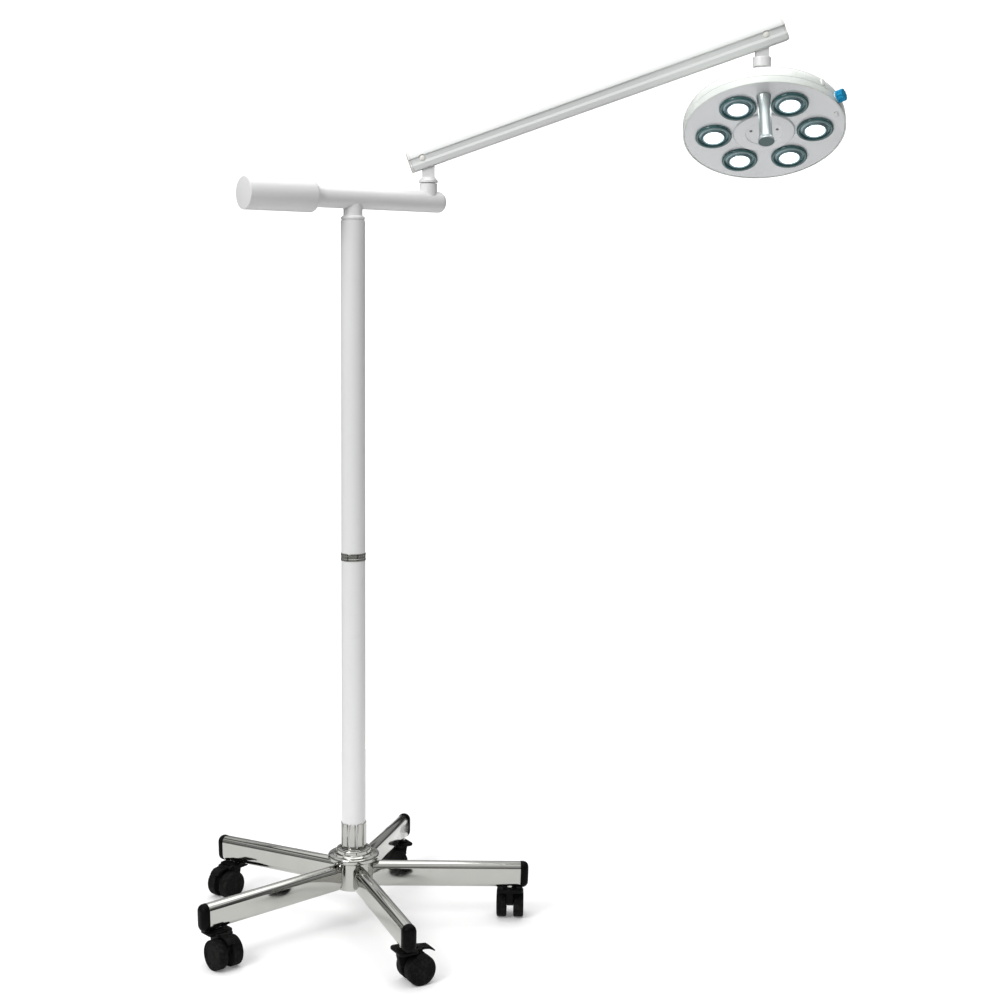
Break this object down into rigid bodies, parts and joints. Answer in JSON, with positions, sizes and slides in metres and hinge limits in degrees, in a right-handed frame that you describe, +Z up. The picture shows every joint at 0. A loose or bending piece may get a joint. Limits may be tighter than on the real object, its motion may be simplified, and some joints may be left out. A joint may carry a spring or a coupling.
{
  "type": "examination lamp",
  "caption": "Mobile examination lamp: star base on braked casters, two-piece column, counterweighted crossbar, levelled balance arm and round multi-module head.",
  "frame": {"origin": "middle of the lamp's box in plan, on the floor", "axes": "+Z up, +X the way the arm reaches, and the lamp's face is turned down and towards -Y"},
  "size_m": [1.3606, 0.7056, 1.9194],
  "materials": {
    "powder_white": "satin",
    "arm_white": "satin",
    "cap_white": "satin",
    "chrome": "polished",
    "caster_black": "satin",
    "cap_black": "satin",
    "tread_black": "matte",
    "pin_cream": "satin",
    "spring_steel": "satin",
    "housing_white": "gloss",
    "face_grey": "gloss",
    "bezel_teal": "gloss",
    "lens_white": "gloss",
    "handle_satin": "satin",
    "knob_blue": "satin"
  },
  "bodies": {
    "base": {"hub": "chrome", "hub_flange": "chrome", "column_socket": "chrome", "leg_1": "chrome", "leg_2": "chrome", "leg_3": "chrome", "leg_4": "chrome", "leg_5": "chrome", "leg_end_cap_1": "cap_black", "leg_end_cap_2": "cap_black", "leg_end_cap_3": "cap_black", "leg_end_cap_4": "cap_black", "leg_end_cap_5": "cap_black", "column_lower": "powder_white", "column_coupling": "chrome", "column_upper": "powder_white"},
    "caster_1": {"caster_fork_1": "caster_black"},
    "pedal_1": {"brake_pedal_1": "caster_black"},
    "wheel_1a": {"caster_wheel_1a": "tread_black"},
    "wheel_1b": {"caster_wheel_1b": "tread_black"},
    "caster_2": {"caster_fork_2": "caster_black"},
    "pedal_2": {"brake_pedal_2": "caster_black"},
    "wheel_2a": {"caster_wheel_2a": "tread_black"},
    "wheel_2b": {"caster_wheel_2b": "tread_black"},
    "caster_3": {"caster_fork_3": "caster_black"},
    "pedal_3": {"brake_pedal_3": "caster_black"},
    "wheel_3a": {"caster_wheel_3a": "tread_black"},
    "wheel_3b": {"caster_wheel_3b": "tread_black"},
    "caster_4": {"caster_fork_4": "caster_black"},
    "pedal_4": {"brake_pedal_4": "caster_black"},
    "wheel_4a": {"caster_wheel_4a": "tread_black"},
    "wheel_4b": {"caster_wheel_4b": "tread_black"},
    "caster_5": {"caster_fork_5": "caster_black"},
    "pedal_5": {"brake_pedal_5": "caster_black"},
    "wheel_5a": {"caster_wheel_5a": "tread_black"},
    "wheel_5b": {"caster_wheel_5b": "tread_black"},
    "crossbar": {"swivel_neck": "powder_white", "crossbar": "powder_white", "counterweight": "powder_white"},
    "post": {"arm_post": "powder_white"},
    "arm": {"arm_tube": "arm_white", "arm_cap_post": "cap_white", "arm_cap_lamp": "cap_white", "pivot_pin_post": "pin_cream", "pivot_pin_lamp": "pin_cream", "balance_spring": "spring_steel"},
    "stem": {"lamp_stem": "powder_white"},
    "yoke": {"head_yoke": "powder_white"},
    "head": {"dome_housing": "housing_white", "face_plate": "face_grey", "center_disc": "face_grey", "led_engine": "lens_white", "handle": "handle_satin", "led_bezel_1": "bezel_teal", "led_bezel_2": "bezel_teal", "led_bezel_3": "bezel_teal", "led_bezel_4": "bezel_teal", "led_bezel_5": "bezel_teal", "led_bezel_6": "bezel_teal"},
    "knob": {"knob": "knob_blue"}
  },
  "joints": [
    {"name": "caster_swivel_1", "type": "hinge", "parent": "base", "child": "caster_1", "pos_m": [-0.0169, 0.01632, 0.07], "axis": [0, 0, 1], "continuous": true},
    {"name": "pedal_press_1", "type": "hinge", "parent": "caster_1", "child": "pedal_1", "pos_m": [-0.016, 0.0423, 0.067], "axis": [-0.9994, 0.0349, 0], "range_deg": [0, 12]},
    {"name": "wheel_spin_1a", "type": "hinge", "parent": "caster_1", "child": "wheel_1a", "pos_m": [-0.01603, 0.04131, 0.03], "axis": [-0.9994, 0.0349, 0], "continuous": true},
    {"name": "wheel_spin_1b", "type": "hinge", "parent": "caster_1", "child": "wheel_1b", "pos_m": [-0.01603, 0.04131, 0.03], "axis": [-0.9994, 0.0349, 0], "continuous": true},
    {"name": "caster_swivel_2", "type": "hinge", "parent": "base", "child": "caster_2", "pos_m": [-0.2673, 0.31263, 0.07], "axis": [0, 0, 1], "continuous": true},
    {"name": "pedal_press_2", "type": "hinge", "parent": "caster_2", "child": "pedal_2", "pos_m": [-0.28935, 0.29885, 0.067], "axis": [0.5299, -0.848, 0], "range_deg": [0, 12]},
    {"name": "wheel_spin_2a", "type": "hinge", "parent": "caster_2", "child": "wheel_2a", "pos_m": [-0.2885, 0.29938, 0.03], "axis": [0.5299, -0.848, 0], "continuous": true},
    {"name": "wheel_spin_2b", "type": "hinge", "parent": "caster_2", "child": "wheel_2b", "pos_m": [-0.2885, 0.29938, 0.03], "axis": [0.5299, -0.848, 0], "continuous": true},
    {"name": "caster_swivel_3", "type": "hinge", "parent": "base", "child": "caster_3", "pos_m": [-0.62648, 0.16605, 0.07], "axis": [0, 0, 1], "continuous": true},
    {"name": "pedal_press_3", "type": "hinge", "parent": "caster_3", "child": "pedal_3", "pos_m": [-0.64213, 0.14528, 0.067], "axis": [0.7986, -0.6018, 0], "range_deg": [0, 12]},
    {"name": "wheel_spin_3a", "type": "hinge", "parent": "caster_3", "child": "wheel_3a", "pos_m": [-0.64153, 0.14608, 0.03], "axis": [0.7986, -0.6018, 0], "continuous": true},
    {"name": "wheel_spin_3b", "type": "hinge", "parent": "caster_3", "child": "wheel_3b", "pos_m": [-0.64153, 0.14608, 0.03], "axis": [0.7986, -0.6018, 0], "continuous": true},
    {"name": "caster_swivel_4", "type": "hinge", "parent": "base", "child": "caster_4", "pos_m": [-0.59807, -0.22085, 0.07], "axis": [0, 0, 1], "continuous": true},
    {"name": "pedal_press_4", "type": "hinge", "parent": "caster_4", "child": "pedal_4", "pos_m": [-0.58067, -0.24017, 0.067], "axis": [0.7431, 0.6691, 0], "range_deg": [0, 12]},
    {"name": "wheel_spin_4a", "type": "hinge", "parent": "caster_4", "child": "wheel_4a", "pos_m": [-0.58134, -0.23943, 0.03], "axis": [0.7431, 0.6691, 0], "continuous": true},
    {"name": "wheel_spin_4b", "type": "hinge", "parent": "caster_4", "child": "wheel_4b", "pos_m": [-0.58134, -0.23943, 0.03], "axis": [0.7431, 0.6691, 0], "continuous": true},
    {"name": "caster_swivel_5", "type": "hinge", "parent": "base", "child": "caster_5", "pos_m": [-0.22133, -0.31339, 0.07], "axis": [0, 0, 1], "continuous": true},
    {"name": "pedal_press_5", "type": "hinge", "parent": "caster_5", "child": "pedal_5", "pos_m": [-0.19859, -0.30078, 0.067], "axis": [-0.4848, 0.8746, 0], "range_deg": [0, 12]},
    {"name": "wheel_spin_5a", "type": "hinge", "parent": "caster_5", "child": "wheel_5a", "pos_m": [-0.19946, -0.30127, 0.03], "axis": [-0.4848, 0.8746, 0], "continuous": true},
    {"name": "wheel_spin_5b", "type": "hinge", "parent": "caster_5", "child": "wheel_5b", "pos_m": [-0.19946, -0.30127, 0.03], "axis": [-0.4848, 0.8746, 0], "continuous": true},
    {"name": "crossbar_swivel", "type": "hinge", "parent": "base", "child": "crossbar", "pos_m": [-0.34602, -0.00785, 1.5209], "axis": [0, 0, 1], "range_deg": [-160, 160]},
    {"name": "post_swivel", "type": "hinge", "parent": "crossbar", "child": "post", "pos_m": [-0.1965, 0.10279, 1.5209], "axis": [0, 0, 1], "range_deg": [-100, 120]},
    {"name": "arm_tilt", "type": "hinge", "parent": "post", "child": "arm", "pos_m": [-0.20947, 0.10188, 1.6122], "axis": [0.0698, -0.9976, 0], "range_deg": [-48, 9.5]},
    {"name": "stem_level", "type": "hinge", "parent": "arm", "child": "stem", "pos_m": [0.51703, 0.15268, 1.88015], "axis": [0.0698, -0.9976, 0], "range_deg": [-9.5, 48]},
    {"name": "lamp_swivel", "type": "hinge", "parent": "stem", "child": "yoke", "pos_m": [0.51204, 0.15233, 1.76545], "axis": [0, 0, 1], "range_deg": [-5, 190]},
    {"name": "head_tilt", "type": "hinge", "parent": "yoke", "child": "head", "pos_m": [0.51204, 0.15233, 1.76545], "axis": [-0.9994, 0.0349, 0], "range_deg": [-45, 30]},
    {"name": "knob_turn", "type": "hinge", "parent": "head", "child": "knob", "pos_m": [0.51036, 0.10422, 1.6824], "axis": [0.7908, -0.5364, 0.2948], "range_deg": [-135, 135]}
  ],
  "couplings": [
    {"joint": "stem_level", "follows": "arm_tilt", "ratio": -1}
  ]
}
